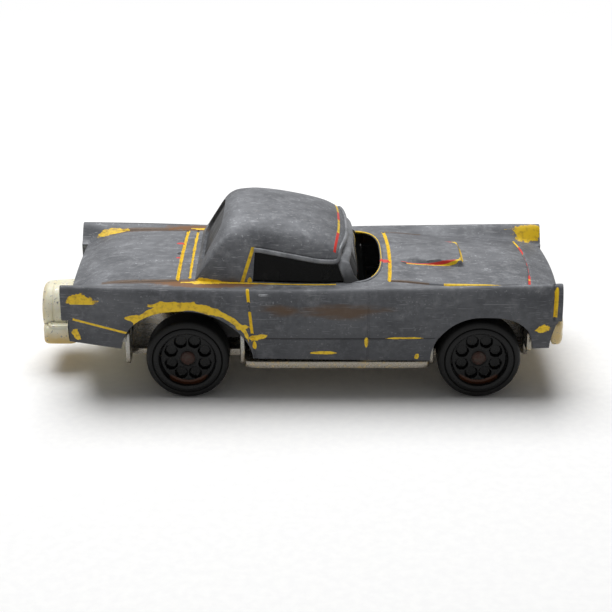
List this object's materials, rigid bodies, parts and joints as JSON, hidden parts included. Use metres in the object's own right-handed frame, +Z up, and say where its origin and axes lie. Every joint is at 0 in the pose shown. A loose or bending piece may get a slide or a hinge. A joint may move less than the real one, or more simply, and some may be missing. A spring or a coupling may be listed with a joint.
{
  "type": "model car",
  "caption": "Small die-cast toy coupe with tail fins, a removable-look hardtop, smoked glazing, a plated plastic base with bumpers and freely rolling wheels on wire axles.",
  "frame": {"origin": "on the ground under the centre of the car's bounding box", "axes": "+X towards the front of the car, +Y towards its left side, +Z up"},
  "size_m": [0.0756, 0.0278, 0.0256],
  "materials": {
    "bare_zinc": "bare worn zinc casting with leftover yellow paint",
    "worn_plating": "cream plastic with its plating worn off",
    "smoked_plastic": "dark smoked clear plastic",
    "interior_plastic": "dark matt moulding",
    "axle_wire": "dull steel wire with rust",
    "wheel_plastic": "black plastic, dull tread and glossier hub"
  },
  "bodies": {
    "car": {"body_casting": "bare_zinc", "base_moulding": "worn_plating", "window_insert": "smoked_plastic", "interior_tub": "interior_plastic"},
    "front_axle_body": {"front_axle": "axle_wire"},
    "rear_axle_body": {"rear_axle": "axle_wire"},
    "front_left_wheel": {"wheel_front_left": "wheel_plastic"},
    "front_right_wheel": {"wheel_front_right": "wheel_plastic"},
    "rear_left_wheel": {"wheel_rear_left": "wheel_plastic"},
    "rear_right_wheel": {"wheel_rear_right": "wheel_plastic"}
  },
  "joints": [
    {"name": "front_axle_spin", "type": "hinge", "parent": "car", "child": "front_axle_body", "pos_m": [0.0254, 0, 0.0059], "axis": [0, 1, 0], "continuous": true},
    {"name": "rear_axle_spin", "type": "hinge", "parent": "car", "child": "rear_axle_body", "pos_m": [-0.0159, 0, 0.0059], "axis": [0, 1, 0], "continuous": true},
    {"name": "front_left_wheel_spin", "type": "hinge", "parent": "front_axle_body", "child": "front_left_wheel", "pos_m": [0.0254, 0.0113, 0.0059], "axis": [0, 1, 0], "continuous": true},
    {"name": "front_right_wheel_spin", "type": "hinge", "parent": "front_axle_body", "child": "front_right_wheel", "pos_m": [0.0254, -0.0113, 0.0059], "axis": [0, 1, 0], "continuous": true},
    {"name": "rear_left_wheel_spin", "type": "hinge", "parent": "rear_axle_body", "child": "rear_left_wheel", "pos_m": [-0.0159, 0.0113, 0.0059], "axis": [0, 1, 0], "continuous": true},
    {"name": "rear_right_wheel_spin", "type": "hinge", "parent": "rear_axle_body", "child": "rear_right_wheel", "pos_m": [-0.0159, -0.0113, 0.0059], "axis": [0, 1, 0], "continuous": true}
  ]
}
